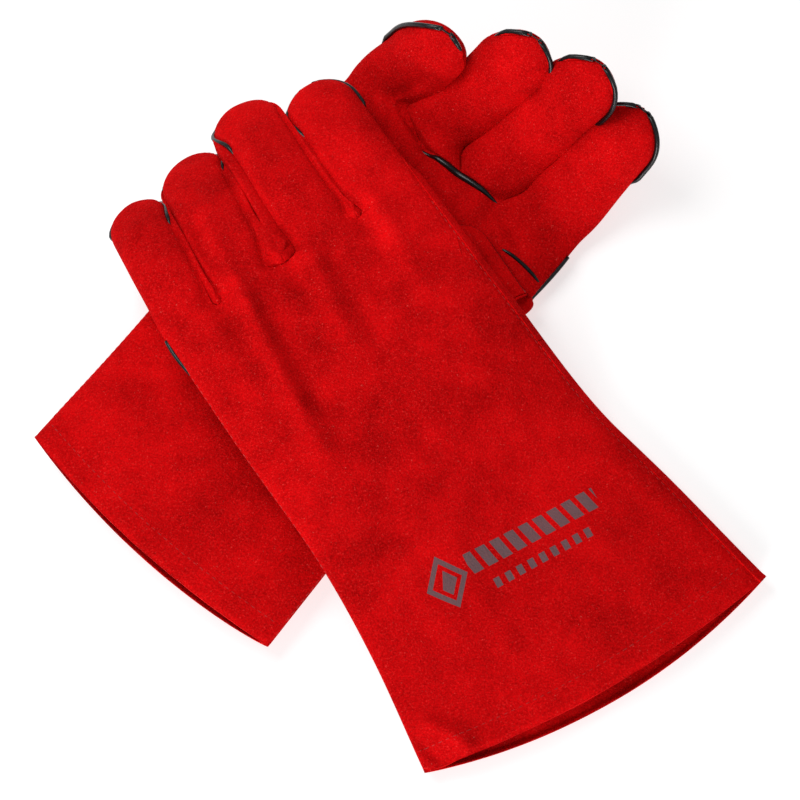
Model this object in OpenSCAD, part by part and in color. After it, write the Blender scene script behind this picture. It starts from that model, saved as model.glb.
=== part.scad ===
// A crossed pair of lined leather welding gauntlets. The right glove lies palm up, and the left
// glove lies over it with its back up. Both thumbs are folded across the palms, between the gloves.
// X runs to the right, Y away from the viewer and Z up from the surface that the pair lies on.

/* [Pattern] */
// Length from the mouth of the cuff to the roots of the fingers
hand_len = 252; // [210:1:305]
// Length of the cuff, from its mouth to the wrist seam
cuff_len = 150; // [110:1:180]
// Width of the left cuff at its mouth, lying flat
left_mouth_w = 194; // [165:1:230]
// Width of the right cuff at its mouth, which stands a little more open
right_mouth_w = 160; // [145:1:200]
// How far the left hand sits off its cuff's middle, towards the little finger
left_shift = 9; // [0:0.5:15]
// How far the right hand sits off its cuff's middle, towards the little finger
right_shift = 5.5; // [0:0.5:15]

// How far the middle of the left cuff's mouth bows out past its corners
left_bow = 9; // [0:0.5:14]
// How far the middle of the right cuff's mouth bows out past its corners
right_bow = 7; // [0:0.5:16]
// How far the thumb side of the left cuff's mouth reaches past its middle
left_skew = 7.5; // [0:0.5:12]
// How far the thumb side of the right cuff's mouth reaches past its middle
right_skew = 5; // [0:0.5:12]

/* [Fingers] */
// Length of the little finger
little_len = 84; // [70:1:100]
// Length of the ring finger
ring_len = 92; // [76:1:110]
// Length of the middle finger
middle_len = 100; // [84:1:120]
// Length of the index finger
index_len = 84; // [70:1:100]
// Width of the hand at the root of the little finger
little_root = 33; // [30:1:40]
// Width of the hand at the root of the ring finger
ring_root = 39; // [35:1:47]
// Width of the hand at the root of the middle finger
middle_root = 44; // [38:1:53]
// Width of the hand at the root of the index finger
index_root = 40; // [35:1:48]
// How much narrower a finger of the left glove is than its root
left_taper = 4; // [3:0.5:6]
// How much narrower a curled finger of the right glove is than its root
right_taper = 7; // [6:0.5:9]
// Gap between two fingers at their roots
finger_gap = 1.4; // [1:0.1:3]

/* [Thumb] */
// Length of the thumb beyond its root
thumb_len = 54; // [50:1:66]
// Width of the thumb
thumb_w = 34; // [28:1:38]
// Thickness of the folded thumb, pressed flat between the gloves
thumb_h = 8.6; // [8.2:0.1:9]
// Distance from the mouth of the cuff to the thumb's root
thumb_y = 200; // [192:1:210]
// Direction of the folded thumb, in degrees from the thumb side of the hand
thumb_fold = 160; // [150:1:170]

/* [Thickness] */
// Thickness of the leather
leather = 1.3; // [1:0.1:1.6]
// Thickness of the fleece lining
fleece = 1.1; // [0.8:0.1:1.4]
// Space between the leather and the lining
lining_gap = 0.4; // [0.3:0.1:0.8]
// Radius of the welts sewn into the seams
welt_r = 0.6; // [0.5:0.05:0.7]
// Thickness of a hand lying flat
hand_h = 14; // [13:0.5:17]
// Thickness of a finger halfway along
finger_h = 18; // [16:0.5:22]
// Thickness of the left cuff at its mouth
left_mouth_h = 14; // [13:0.5:20]
// Thickness of the right cuff at its mouth
right_mouth_h = 24; // [20:0.5:30]
// Width of the hem turned in at the mouth
hem_w = 12; // [8:0.5:16]

/* [Lie] */
// Direction of the left glove's fingers, in degrees
left_turn = 124; // [120:0.5:128]
// Direction of the right glove's fingers, in degrees
right_turn = 52; // [48:0.5:56]
// Space between the left palm and the folded thumb under it
palm_clear = 1.6; // [1.4:0.1:6]
// Gap between the right palm and its folded thumb, and between the two thumbs
layer_gap = 0.6; // [0.5:0.1:1]

/* [Hidden] */
SIDES = ["left", "right"];
FINGERS = ["little", "ring", "middle", "index"];
HAND_PARTS = ["back_panel", "palm_panel", "cuff_front", "lining", "hem", "side_welts", "gunn_welt"];
FINGER_PARTS = ["back", "front", "gussets", "welts", "lining"];
THUMB_PARTS = ["thumb_outer", "thumb_inner", "thumb_lining"];

LEFT = 0;
RIGHT = 1;
mouth_w = [left_mouth_w, right_mouth_w];
mouth_h = [left_mouth_h, right_mouth_h];
bow = [left_bow, right_bow];
skew = [left_skew, right_skew];
shift = [left_shift, right_shift];
turn = [left_turn, right_turn];
// The middle of each cuff's mouth
mouth_at = [[98.0, -143.5], [-122.6, -78.3]];

finger_len = [little_len, ring_len, middle_len, index_len];
root_w = [little_root, ring_root, middle_root, index_root];
// Pitch of each fingertip: the left fingers droop over the right glove, the right ones curl up
tip_pitch = [[-38, -38, -30, -25], [112, 98, 96, 74]];
// Sideways lean of each finger towards the thumb, in degrees
lean = [[6, 8.5, 5, 4], [18, 16.5, 13, 8.5]];
// Share of its length that each finger keeps where it is bunched up
kept = [[1, 1, 1, 1], [0.84, 1, 1, 1]];
taper = [left_taper, right_taper];
function finger_w(g, f) = root_w[f] - taper[g];
hand_w = little_root + ring_root + middle_root + index_root;
// Thumb-side and little-side seams stand this many degrees off the cords sewn into them
hand_seam = 6;
finger_seam = 30;
finger_seam_half = 6;
section_power = 0.75;
// Share of the section's half thickness at which its top and bottom are flat
flat_share = 0.93;
joint_gap = 0.5;
shell = leather + lining_gap + fleece;
red = "firebrick";
black = "black";
cream = "wheat";

function ramp(t) = let (c = min(1, max(0, t))) c * c * (3 - 2 * c);
function mix(a, b, t) = a + (b - a) * t;
function sum_to(list, n) = n <= 0 ? 0 : list[n - 1] + sum_to(list, n - 1);
function signed_power(v) = sign(v) * pow(abs(v), section_power);

// A flattened oval: w and h are half sizes, and a is 0 at the thumb side and 90 on top
function oval(w, h, a) = [
    w * signed_power(cos(a)),
    min(flat_share, max(-flat_share, signed_power(sin(a)))) / flat_share * h
];

// Half width and half thickness of the hand and cuff, y from the mouth
taper_len = cuff_len + 40;
bow_len = 70;
function half_w(g, y) = mix(mouth_w[g], hand_w, sin(90 * min(1, y / taper_len))) / 2;
function half_h(g, y) = mix(mouth_h[g], hand_h, ramp(y / cuff_len)) / 2;
function middle_x(g, y) = -shift[g] * pow(ramp(y / taper_len), 2);
// How far the leather at a share x of the half width reaches past a square mouth
function bowed(g, y, x) = (bow[g] * (1 - x * x) + skew[g] * x) * (1 - ramp(y / bow_len));

// Turns a glove's own point into the pair's frame, and back
function placed(g, p) =
    let (a = turn[g] - 90)
    [mouth_at[g][0] + p[0] * cos(a) - p[1] * sin(a), mouth_at[g][1] + p[0] * sin(a) + p[1] * cos(a), p[2]];
function unplaced(g, p) =
    let (a = turn[g] - 90, x = p[0] - mouth_at[g][0], y = p[1] - mouth_at[g][1])
    [x * cos(a) + y * sin(a), y * cos(a) - x * sin(a)];

// The left glove lies on the surface near its mouth, climbs over the thumb side of the right one,
// and lies level above the two folded thumbs
rise = hand_h + 2 * thumb_h + 2 * layer_gap + palm_clear;
climb_before = 82;
climb_len = 98;
crossing = unplaced(LEFT, placed(RIGHT, [hand_w / 2 - right_shift, 0, 0]));
climb_slope = tan(right_turn + 90 - left_turn);
climb_at = crossing[1] - climb_slope * crossing[0];
function lift(g, x, y) =
    g == LEFT ? rise * ramp((y - climb_at - climb_slope * x + climb_before) / climb_len) : 0;

// A point of the hand and cuff: t is the distance from the mouth, a the angle round, off the depth in
function hand_point(g, t, a, off) =
    let (
        p = oval(half_w(g, t) - off, half_h(g, t) - off, a),
        x = middle_x(g, t) + p[0],
        y = t - bowed(g, t, p[0] / half_w(g, t))
    )
    [x, y, half_h(g, t) + lift(g, x, y) + p[1]];

// A point of finger f: t runs from 0 at the root to 1 at the tip
function finger_point(g, f, t, a, off) =
    let (
        long = finger_len[f] * kept[g][f],
        pitch = tip_pitch[g][f],
        s = long * t,
        round_from = long - finger_w(g, f) / 2,
        tip = s > round_from ? sqrt(max(0, 1 - pow((s - round_from) / (long - round_from), 2))) : 1,
        full_w = mix(root_w[f] - finger_gap, finger_w(g, f) - finger_gap, ramp(t * 2)) / 2,
        full_h = mix(hand_h, finger_h, ramp(t * 2)) / 2,
        p = oval(max(0.4, full_w * tip - off), max(0.3, full_h * tip - off), a),
        root_x = sum_to(root_w, f) + root_w[f] / 2 - hand_w / 2 - shift[g],
        run = long / (pitch * PI / 180),
        z0 = hand_h / 2 + lift(g, root_x, hand_len)
    )
    [
        root_x + s * tan(lean[g][f]) + p[0],
        hand_len + joint_gap + run * sin(pitch * t) - p[1] * sin(pitch * t),
        z0 + run * (1 - cos(pitch * t)) + p[1] * cos(pitch * t)
    ];

// A point of the folded thumb, which lies level in its own layer over the right palm
thumb_floor = [hand_h + 2 * layer_gap + thumb_h, hand_h + layer_gap];
thumb_out = -6;
function thumb_point(g, t, a, off) =
    let (
        s = thumb_len * t,
        round_from = thumb_len - thumb_w / 2,
        tip = s > round_from ? sqrt(max(0, 1 - pow((s - round_from) / (thumb_len - round_from), 2))) : 1,
        p = oval(max(0.4, thumb_w / 2 * tip - off), max(0.3, thumb_h / 2 * tip - off), a)
    )
    [
        hand_w / 2 - shift[g] + thumb_out + s * cos(thumb_fold) + p[0] * sin(thumb_fold),
        thumb_y + s * sin(thumb_fold) - p[0] * cos(thumb_fold),
        thumb_floor[g] + thumb_h / 2 + p[1]
    ];

// A curved sheet of leather between two depths. at(t, a, off) gives its points, ts and angles
// list the places along and round it
module panel(at, ts, angles, outer, inner) {
    n = len(ts);
    m = len(angles);
    grid = n * m;
    points = [for (off = [outer, inner]) for (t = ts) for (a = angles) at(t, a, off)];
    faces = [
        for (i = [0 : n - 2]) for (j = [0 : m - 2]) each [
            [i * m + j, i * m + j + 1, (i + 1) * m + j + 1],
            [i * m + j, (i + 1) * m + j + 1, (i + 1) * m + j],
            [grid + i * m + j, grid + (i + 1) * m + j + 1, grid + i * m + j + 1],
            [grid + i * m + j, grid + (i + 1) * m + j, grid + (i + 1) * m + j + 1]
        ],
        for (i = [0 : n - 2]) each [
            [i * m, (i + 1) * m, grid + (i + 1) * m],
            [i * m, grid + (i + 1) * m, grid + i * m],
            [i * m + m - 1, grid + (i + 1) * m + m - 1, (i + 1) * m + m - 1],
            [i * m + m - 1, grid + i * m + m - 1, grid + (i + 1) * m + m - 1]
        ],
        for (j = [0 : m - 2]) each [
            [j, grid + j, grid + j + 1],
            [j, grid + j + 1, j + 1],
            [(n - 1) * m + j, grid + (n - 1) * m + j + 1, grid + (n - 1) * m + j],
            [(n - 1) * m + j, (n - 1) * m + j + 1, grid + (n - 1) * m + j + 1]
        ]
    ];
    polyhedron(points, faces);
}

// The middle of a ring of points of a sleeve
function ring_middle(at, t, off) = (at(t, 90, off) + at(t, 270, off)) / 2;

// A sleeve open at both ends, or closed at its far end when cap is true
module sleeve(at, ts, angles, outer, inner, cap = false) {
    n = len(ts);
    sides = len(angles);
    grid = n * sides;
    last_in = cap ? mix(ts[n - 2], ts[n - 1], 0.5) : ts[n - 1];
    points = concat(
        [for (t = ts) for (a = angles) at(t, a, outer)],
        [for (i = [0 : n - 1]) for (a = angles) at(i == n - 1 ? last_in : ts[i], a, inner)],
        cap ? [ring_middle(at, ts[n - 1], outer), ring_middle(at, last_in, inner)] : []
    );
    faces = [
        for (i = [0 : n - 2]) for (j = [0 : sides - 1]) let (k = (j + 1) % sides) each [
            [i * sides + j, i * sides + k, (i + 1) * sides + k],
            [i * sides + j, (i + 1) * sides + k, (i + 1) * sides + j],
            [grid + i * sides + j, grid + (i + 1) * sides + k, grid + i * sides + k],
            [grid + i * sides + j, grid + (i + 1) * sides + j, grid + (i + 1) * sides + k]
        ],
        for (j = [0 : sides - 1]) let (k = (j + 1) % sides) each [
            [j, grid + j, grid + k],
            [j, grid + k, k],
            each cap
                ? [[(n - 1) * sides + j, (n - 1) * sides + k, 2 * grid],
                    [grid + (n - 1) * sides + k, grid + (n - 1) * sides + j, 2 * grid + 1]]
                : [[(n - 1) * sides + j, grid + (n - 1) * sides + k, grid + (n - 1) * sides + j],
                    [(n - 1) * sides + j, (n - 1) * sides + k, grid + (n - 1) * sides + k]]
        ]
    ];
    polyhedron(points, faces);
}

// A round welt along the points of a path
cord_sides = 5;
module cord(path, r) {
    n = len(path);
    up = [0, 0, 1];
    points = [
        for (i = [0 : n - 1])
            let (
                d = path[min(i + 1, n - 1)] - path[max(i - 1, 0)],
                u = d / norm(d),
                s0 = cross(u, abs(u[2]) > 0.9 ? [1, 0, 0] : up),
                s = s0 / norm(s0),
                v = cross(s, u)
            )
            for (j = [0 : cord_sides - 1])
                path[i] + r * (s * cos(j * 360 / cord_sides) + v * sin(j * 360 / cord_sides))
    ];
    faces = concat(
        [
            for (i = [0 : n - 2]) for (j = [0 : cord_sides - 1]) let (k = (j + 1) % cord_sides) each [
                [i * cord_sides + j, i * cord_sides + k, (i + 1) * cord_sides + k],
                [i * cord_sides + j, (i + 1) * cord_sides + k, (i + 1) * cord_sides + j]
            ]
        ],
        [[for (j = [cord_sides - 1 : -1 : 0]) j]],
        [[for (j = [0 : cord_sides - 1]) (n - 1) * cord_sides + j]]
    );
    polyhedron(points, faces);
}

function steps(from, to, n) = [for (i = [0 : n]) mix(from, to, i / n)];
// Steps along the hand and cuff, the same for each layer, so that the layers stay apart on a slope
hand_step = 16.8;
end_step = 3;
function hand_steps(from, to) = [
    from,
    for (t = [0 : hand_step : hand_len]) if (t > from + end_step && t < to - end_step) t,
    to
];
// Steps along a finger or thumb, closer together round its tip
finger_ts = [0, 0.1, 0.22, 0.36, 0.5, 0.64, 0.76, 0.85, 0.92, 0.965, 0.99];
top_angles = steps(hand_seam, 180 - hand_seam, 8);
low_angles = steps(180 + hand_seam, 360 - hand_seam, 8);
hand_angles = concat(top_angles, low_angles);
round_angles = [for (i = [0 : 11]) i * 30];
// Depth of the face of whatever lies inside the leather
inside = leather + lining_gap;

// The back lies on top of the left glove and under the right one
function back_angles(g) = g == LEFT ? top_angles : low_angles;
function front_angles(g) = g == LEFT ? low_angles : top_angles;

function hand_at(g) = function (t, a, off) placed(g, hand_point(g, t, a, off));
function finger_at(g, f) = function (t, a, off) placed(g, finger_point(g, f, t, a, off));
function thumb_at(g) = function (t, a, off) placed(g, thumb_point(g, t, a, off));

// The back of the hand and cuff is one piece of leather
module back_panel(g) {
    color(red) panel(hand_at(g), hand_steps(0, hand_len), back_angles(g), 0, leather);
}

module palm_panel(g) {
    color(red) panel(hand_at(g), hand_steps(cuff_len + joint_gap, hand_len), front_angles(g), 0, leather);
}

module cuff_front(g) {
    color(red) panel(hand_at(g), hand_steps(0, cuff_len), front_angles(g), 0, leather);
}

// One sewn bag of fleece lines the hand and cuff
module lining(g) {
    color(cream) sleeve(hand_at(g), hand_steps(hem_w + joint_gap, hand_len), hand_angles, inside, shell);
}

// The edge of the leather is turned in round the mouth
module hem(g) {
    color(red) sleeve(hand_at(g), [0, hem_w / 2, hem_w], hand_angles, inside, inside + leather);
}

module side_welts(g) {
    color(black)
        for (a = [0, 180])
            cord([for (t = hand_steps(hem_w, hand_len - 1)) hand_at(g)(t, a, welt_r)], welt_r);
}

// The seam across the palm at the roots of the ring and middle fingers
gunn_back = 3;
module gunn_welt(g) {
    y = hand_len - gunn_back;
    x0 = root_w[0] - hand_w / 2;
    x1 = x0 + root_w[1] + root_w[2];
    up = g == LEFT ? -1 : 1;
    color(black)
        cord([
            for (x = steps(x0, x1, 8))
                placed(g, [x - shift[g], y, half_h(g, y) * (1 + up) + lift(g, x - shift[g], y)
                    + up * (welt_r + joint_gap / 2)])
        ], welt_r);
}

// A finger has a gusset on each side that faces another finger, and a plain seam on the outside
function has_gusset(f, a) = a == 0 ? f < 3 : f > 0;
function seam_angle(f, a, up) =
    let (s = has_gusset(f, a) ? finger_seam + finger_seam_half : hand_seam)
    a == 0 ? up * s : 180 - up * s;
function finger_angles(f, up) =
    up > 0 ? steps(seam_angle(f, 0, 1), seam_angle(f, 180, 1), 6)
        : steps(seam_angle(f, 180, -1), seam_angle(f, 0, -1) + 360, 6);
function back_up(g) = g == LEFT ? 1 : -1;

module finger_back(g, f) {
    color(red) panel(finger_at(g, f), finger_ts, finger_angles(f, back_up(g)), 0, leather);
}

module finger_front(g, f) {
    color(red) panel(finger_at(g, f), finger_ts, finger_angles(f, -back_up(g)), 0, leather);
}

module finger_gussets(g, f) {
    open = finger_seam - finger_seam_half;
    color(red)
        for (a = [0, 180])
            if (has_gusset(f, a))
                panel(finger_at(g, f), finger_ts, steps(a - open, a + open, 2), 0, leather);
}

module finger_welts(g, f) {
    color(black)
        for (a = [0, 180])
            for (side = has_gusset(f, a) ? [-1, 1] : [0])
                cord([
                    for (t = [for (i = [0 : len(finger_ts) - 2]) max(0.02, finger_ts[i])])
                        finger_at(g, f)(t, a + side * finger_seam, welt_r)
                ], welt_r);
}

module finger_lining(g, f) {
    color(cream) sleeve(finger_at(g, f), finger_ts, round_angles, inside, shell, cap = true);
}

module thumb_outer(g) {
    color(red) panel(thumb_at(g), finger_ts, steps(hand_seam, 180 - hand_seam, 6), 0, leather);
}

module thumb_inner(g) {
    color(red) panel(thumb_at(g), finger_ts, steps(180 + hand_seam, 360 - hand_seam, 6), 0, leather);
}

module thumb_lining(g) {
    color(cream) sleeve(thumb_at(g), finger_ts, round_angles, inside, shell, cap = true);
}

module hand_part(g, p) {
    if (p == "back_panel") back_panel(g);
    if (p == "palm_panel") palm_panel(g);
    if (p == "cuff_front") cuff_front(g);
    if (p == "lining") lining(g);
    if (p == "hem") hem(g);
    if (p == "side_welts") side_welts(g);
    if (p == "gunn_welt") gunn_welt(g);
    if (p == "thumb_outer") thumb_outer(g);
    if (p == "thumb_inner") thumb_inner(g);
    if (p == "thumb_lining") thumb_lining(g);
}

module finger_part(g, f, p) {
    if (p == "back") finger_back(g, f);
    if (p == "front") finger_front(g, f);
    if (p == "gussets") finger_gussets(g, f);
    if (p == "welts") finger_welts(g, f);
    if (p == "lining") finger_lining(g, f);
}

for (g = [LEFT, RIGHT]) {
    for (p = concat(HAND_PARTS, THUMB_PARTS))
        hand_part(g, p);
    for (f = [0 : 3])
        for (p = FINGER_PARTS)
            finger_part(g, f, p);
}
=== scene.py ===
import math

import bmesh
import bpy
import numpy as np
from mathutils import Matrix, Vector


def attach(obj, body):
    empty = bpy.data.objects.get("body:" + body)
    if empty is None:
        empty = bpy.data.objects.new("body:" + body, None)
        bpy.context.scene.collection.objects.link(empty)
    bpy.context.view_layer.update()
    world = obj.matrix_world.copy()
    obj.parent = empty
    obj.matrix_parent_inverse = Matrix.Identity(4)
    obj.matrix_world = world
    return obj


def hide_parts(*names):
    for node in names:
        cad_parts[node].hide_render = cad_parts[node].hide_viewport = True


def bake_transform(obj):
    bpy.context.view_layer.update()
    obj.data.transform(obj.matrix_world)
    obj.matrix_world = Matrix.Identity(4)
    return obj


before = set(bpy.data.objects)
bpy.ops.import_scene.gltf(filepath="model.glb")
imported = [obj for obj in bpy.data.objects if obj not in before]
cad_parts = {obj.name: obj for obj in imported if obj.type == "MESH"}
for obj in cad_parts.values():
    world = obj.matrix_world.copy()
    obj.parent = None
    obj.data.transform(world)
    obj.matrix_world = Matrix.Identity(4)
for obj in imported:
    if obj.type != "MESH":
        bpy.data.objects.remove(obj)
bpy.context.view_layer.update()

left, right = 0, 1
handName = ("left", "right")
fingerName = ("little", "ring", "middle", "index")

# the pattern, in millimetres and degrees; pairs are (left, right) and fours run from little to index
glove = {
    "handLength": 252,
    "cuffLength": 150,
    "mouthWidth": (194, 160),
    "mouthHeight": (14, 24),
    "handHeight": 14,
    "fingerHeight": 18,
    "shift": (9, 5.5),
    "bow": (9, 7),
    "skew": (7.5, 5),
    "rootWidth": (33, 39, 44, 40),
    "fingerLength": (84, 92, 100, 84),
    "fingerKept": ((1, 1, 1, 1), (0.84, 1, 1, 1)),
    "fingerLean": ((6, 8.5, 5, 4), (18, 16.5, 13, 8.5)),
    "tipPitch": ((-38, -38, -30, -25), (112, 98, 96, 74)),
    "turn": (124, 52),
    "mouthAt": ((98.0, -143.5), (-122.6, -78.3)),
    "thumbLength": 54,
    "thumbWidth": 34,
    "thumbHeight": 8.6,
    "thumbAlong": 200,
    "thumbFold": 160,
    "thumbOut": -6,
    "palmClear": 1.6,
    "layerGap": 0.6,
    "climbBefore": 82,
    "climbLength": 98,
    "leather": 1.3,
    "fleece": 1.1,
    "liningGap": 0.4,
    "hemWidth": 12,
}
handWidth = sum(glove["rootWidth"])
taperLength = glove["cuffLength"] + 40
bowLength = 70
rise = glove["handHeight"] + 2 * glove["thumbHeight"] + 2 * glove["layerGap"] + glove["palmClear"]


def ramp(t):
    c = np.clip(t, 0, 1)
    return c * c * (3 - 2 * c)


def mix(a, b, t):
    return a + (b - a) * t


def hump(t):  # a bell, 1 in its middle
    return np.exp(-t * t)


def toPair(g, p):  # a glove's own millimetres to metres in the pair's frame
    a = math.radians(glove["turn"][g] - 90)
    mx, my = glove["mouthAt"][g]
    x, y, z = p[..., 0], p[..., 1], p[..., 2]
    across = mx + x * math.cos(a) - y * math.sin(a)
    along = my + x * math.sin(a) + y * math.cos(a)
    return np.stack([across, along, z], -1) / 1000


def halfWidth(g, y):
    return mix(glove["mouthWidth"][g], handWidth, np.sin(np.pi / 2 * np.clip(y / taperLength, 0, 1))) / 2


def halfHeight(g, y):
    return mix(glove["mouthHeight"][g], glove["handHeight"], ramp(y / glove["cuffLength"])) / 2


def middleX(g, y):
    return -glove["shift"][g] * ramp(y / taperLength) ** 2


def mouthBow(g, y, share, reach=0.0):  # how far the leather reaches past a square mouth
    share = np.clip(share, -1, 1)
    bow = (glove["bow"][g] + reach) * (1 - share ** 2)
    return (bow + glove["skew"][g] * share) * (1 - ramp(y / bowLength))


# the left glove climbs over the thumb side of the right one, along a slanted line
rightEdge = toPair(right, np.array([handWidth / 2 - glove["shift"][right], 0, 0])) * 1000
turnBack = math.radians(glove["turn"][left] - 90)
edgeX, edgeY = rightEdge[0] - glove["mouthAt"][left][0], rightEdge[1] - glove["mouthAt"][left][1]
climbSlope = math.tan(math.radians(glove["turn"][right] + 90 - glove["turn"][left]))
climbAt = (edgeY * math.cos(turnBack) - edgeX * math.sin(turnBack)) - climbSlope * (
    edgeX * math.cos(turnBack) + edgeY * math.sin(turnBack))


def lift(g, x, y):
    if g == right:
        return 0 * x
    return rise * ramp((y - climbAt - climbSlope * x + glove["climbBefore"]) / glove["climbLength"])


# how the leather lies: x of the crotches on each face, and folds as (x, y) to (x, y), height and half width
lie = {
    "crotches": {(left, 1): (-55, -16, 28), (left, -1): (-54, -15, 29),
                 (right, 1): (-26, 0, 27), (right, -1): (-50, -11, 32)},
    "valley": {
        (left, 1): (3.0, 3.4, 3.0),
        (left, -1): (2.5, 2.5, 2.5),
        (right, 1): (2, 1.2, 2.5),
        (right, -1): (2, 2, 2),
    },
    "valleyWidth": 6.5,
    "valleyLength": 46,
    "folds": {
        left: [
            (-34, 300, -44, 245, 1.6, 5), (-44, 245, -52, 187, 2.2, 6), (-52, 187, -54, 158, 1.5, 7),
            (-36, 236, -43, 180, -1.3, 5), (-4, 246, -14, 196, 1.3, 6), (6, 240, 0, 190, -0.8, 6),
            (40, 246, 34, 200, 1.0, 7), (-72, 240, -76, 190, -0.9, 6), (-29, 152, -9, 138, -0.6, 7),
            (-60, 110, -20, 92, 0.7, 14), (20, 130, 60, 112, 0.6, 14), (-82, 21, -74, 6, 2.2, 5),
            (-92, 18, -88, 2, -2.0, 3.5), (70, 120, 78, 40, 0.8, 9), (-30, 30, 30, 24, -0.5, 12),
        ],
        right: [
            (35, 246, 55, 236, -1.2, 4), (40, 238, 60, 224, 1.2, 5), (-70, 200, -40, 150, 0.8, 12),
            (-50, 110, 10, 80, 0.9, 14), (-60, 40, -30, 20, 0.8, 12), (20, 60, 50, 90, -0.8, 12),
            (-41, 266, -19, 251, -1.6, 3.5), (-55, 262, -48, 230, 1.2, 6), (-20, 120, -60, 60, -0.7, 10),
        ],
    },
}


def waves(x, y, start, longest, count):  # a slow, uneven swell made of sine waves in turning directions
    total = 0 * x
    for i in range(count):
        turn, length = 2.4 * i + start, longest * 0.83 ** i
        phase = 2 * np.pi * (x * np.cos(turn) + y * np.sin(turn)) / length + 1.7 * i * i + start
        total = total + 0.86 ** i * np.sin(phase)
    return total / count ** 0.5


def relief(g, side, x, y):  # how far the leather stands off its plain shape
    total = 0.75 * waves(x, y, 0.7 + g + 3 * side, 92, 6) + 0.22 * waves(x, y, 2.1 + g, 24, 5)
    if (g, side) in ((left, 1), (right, 1)):
        for x0, y0, x1, y1, height, width in lie["folds"][g]:
            dx, dy = x1 - x0, y1 - y0
            t = ((x - x0) * dx + (y - y0) * dy) / (dx * dx + dy * dy)
            away = np.hypot(x - x0 - np.clip(t, 0, 1) * dx, y - y0 - np.clip(t, 0, 1) * dy)
            total = total + 1.8 * height * hump(away / width)
    return total


# where the back panel's edge lies on the thumb side: the palm's leather wraps round onto the back
seamTurn = {(left, 1): 0.80, (left, -1): 1.20, (right, 1): 0.97, (right, -1): 1.03}


def crotchTurns(g, side):  # as turns round the section, -1 at the little side and 1 at the thumb side
    half = handWidth / 2
    inner = [2 / np.pi * math.asin((x + glove["shift"][g]) / half) for x in lie["crotches"][g, side]]
    return [-1] + inner + [seamTurn[g, side]]


def turnAt(g, side, c, y):  # c counts strips from the little side, 0 to 4
    even = mix(-1, seamTurn[g, side], c / 4)
    return mix(even, np.interp(c, range(5), crotchTurns(g, side)), ramp((y - 110) / 120))


# how far each layer's edge shows past the other at the mouth
mouthReach = {(left, 1): 0, (left, -1): 6, (right, 1): 0, (right, -1): 0.8}
hemLook = {"step": 0.45, "groove": 0.55, "grooveWidth": 1.1, "roll": 0.9, "rollLength": 1.6}


def handSection(g, side, turn, y, off):  # across and up from the hand's middle, at a turn round its section
    share = np.sin(np.pi / 2 * turn)
    over = np.where(np.abs(turn) > 1, -side, side)
    wide, high = halfWidth(g, y) - off, halfHeight(g, y) - off
    edge = np.sqrt(np.maximum(0, 1 - np.abs(share) ** 3))
    x = middleX(g, y) + wide * share
    depth = 0 * x
    for at, deep in zip(lie["crotches"][g, side], lie["valley"][g, side]):
        depth = depth + deep * hump((x - at) / lie["valleyWidth"])
    depth = depth * ramp((y - glove["handLength"] + lie["valleyLength"]) / lie["valleyLength"])
    seam = 1.5 * hump((turn - seamTurn[g, side]) / 0.03) + 0.5 * hump((turn + 1) / 0.04)
    hem = glove["hemWidth"] - 1
    sewn = hemLook["step"] * (1 - ramp((y - hem) / 2))
    sewn = sewn - hemLook["groove"] * hump((y - hem) / hemLook["grooveWidth"])
    bulk = (relief(g, side, x, y) * ramp((y + 14) / 20) + sewn) * edge
    sunk = np.minimum(depth, high * edge) + seam * edge
    return x, over * (high * edge + bulk * (np.abs(turn) <= 1)) - side * sunk


def handPoint(g, side, turn, y, off=0.0):
    x, up = handSection(g, side, turn, y, off)
    share = (x - middleX(g, y)) / halfWidth(g, y)
    back = mouthBow(g, y, share, mouthReach[g, side])
    drop = hemLook["roll"] * side * hump(y / hemLook["rollLength"])  # the edge rolls in at the mouth
    return np.stack([x, y - back, halfHeight(g, y) + lift(g, x, y - mouthBow(g, y, share)) + up - drop], -1)


# a finger's panels: where their edges lie, as shares of the half width, on the little and the thumb side
finger = {
    "edges": {
        (left, 1): ((1, 0.80), (0.94, 0.78), (0.72, 0.86), (0.88, 1)),
        (left, -1): ((1, 0.88), (0.88, 0.88), (0.88, 0.88), (0.88, 1)),
        (right, 1): ((1, 0.95), (0.95, 0.95), (0.95, 0.95), (0.95, 1)),
        (right, -1): ((1, 0.9), (0.9, 0.9), (0.9, 0.9), (0.9, 1)),
    },
    "rootBlend": (28, 17),
    "tipPower": (2.4, 2.1),
    "tipSeam": 24,
    "tipDrop": (-0.62, 0.75),
    "plump": (1.0, 1.38),
    "width": ((34, 39.5, 41, 39), (42, 41.5, 42, 39.5)),
    "nudge": ((0.5, -2.5, -1.5, -4), (3, 3.5, 1, -2)),
    "waist": ((0, 0, 0, 0), (-5, -2, 1, -3)),
    "rootGap": 0.6,
    "edgeRoll": {(left, 1): 1.7, (left, -1): 0.6, (right, 1): 0.9, (right, -1): 0.6},
    "rollWidth": (0.06, 0.09),
    "boxAcross": (0.85, 0.98),
    "boxUp": (0.8, 0.98),
    "gussetSunk": 0.5,
    "gussetSwell": 1.9,
    # each slot's half width at its end, its place and its length
    "slot": {0: (3.0, -3, 14), 1: (8.2, 4, 13), 2: (4.0, 2, 9)},
    "leanStart": 14,
    "blendReach": 22,
}


def rootX(g, f):
    return sum(glove["rootWidth"][:f]) + glove["rootWidth"][f] / 2 - handWidth / 2 - glove["shift"][g]


def fingerLong(g, f):
    return glove["fingerLength"][f] * glove["fingerKept"][g][f]


def tipStart(g, f):
    return fingerLong(g, f) - finger["width"][g][f] / 2


def leanShift(g, f, s):
    k, long = finger["leanStart"], fingerLong(g, f)
    straight = np.where(s < k, s * s / (2 * k), s - k / 2) * long / (long - k / 2)
    return straight * math.tan(math.radians(glove["fingerLean"][g][f])) + finger["nudge"][g][f] * ramp(s / 34)


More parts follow.
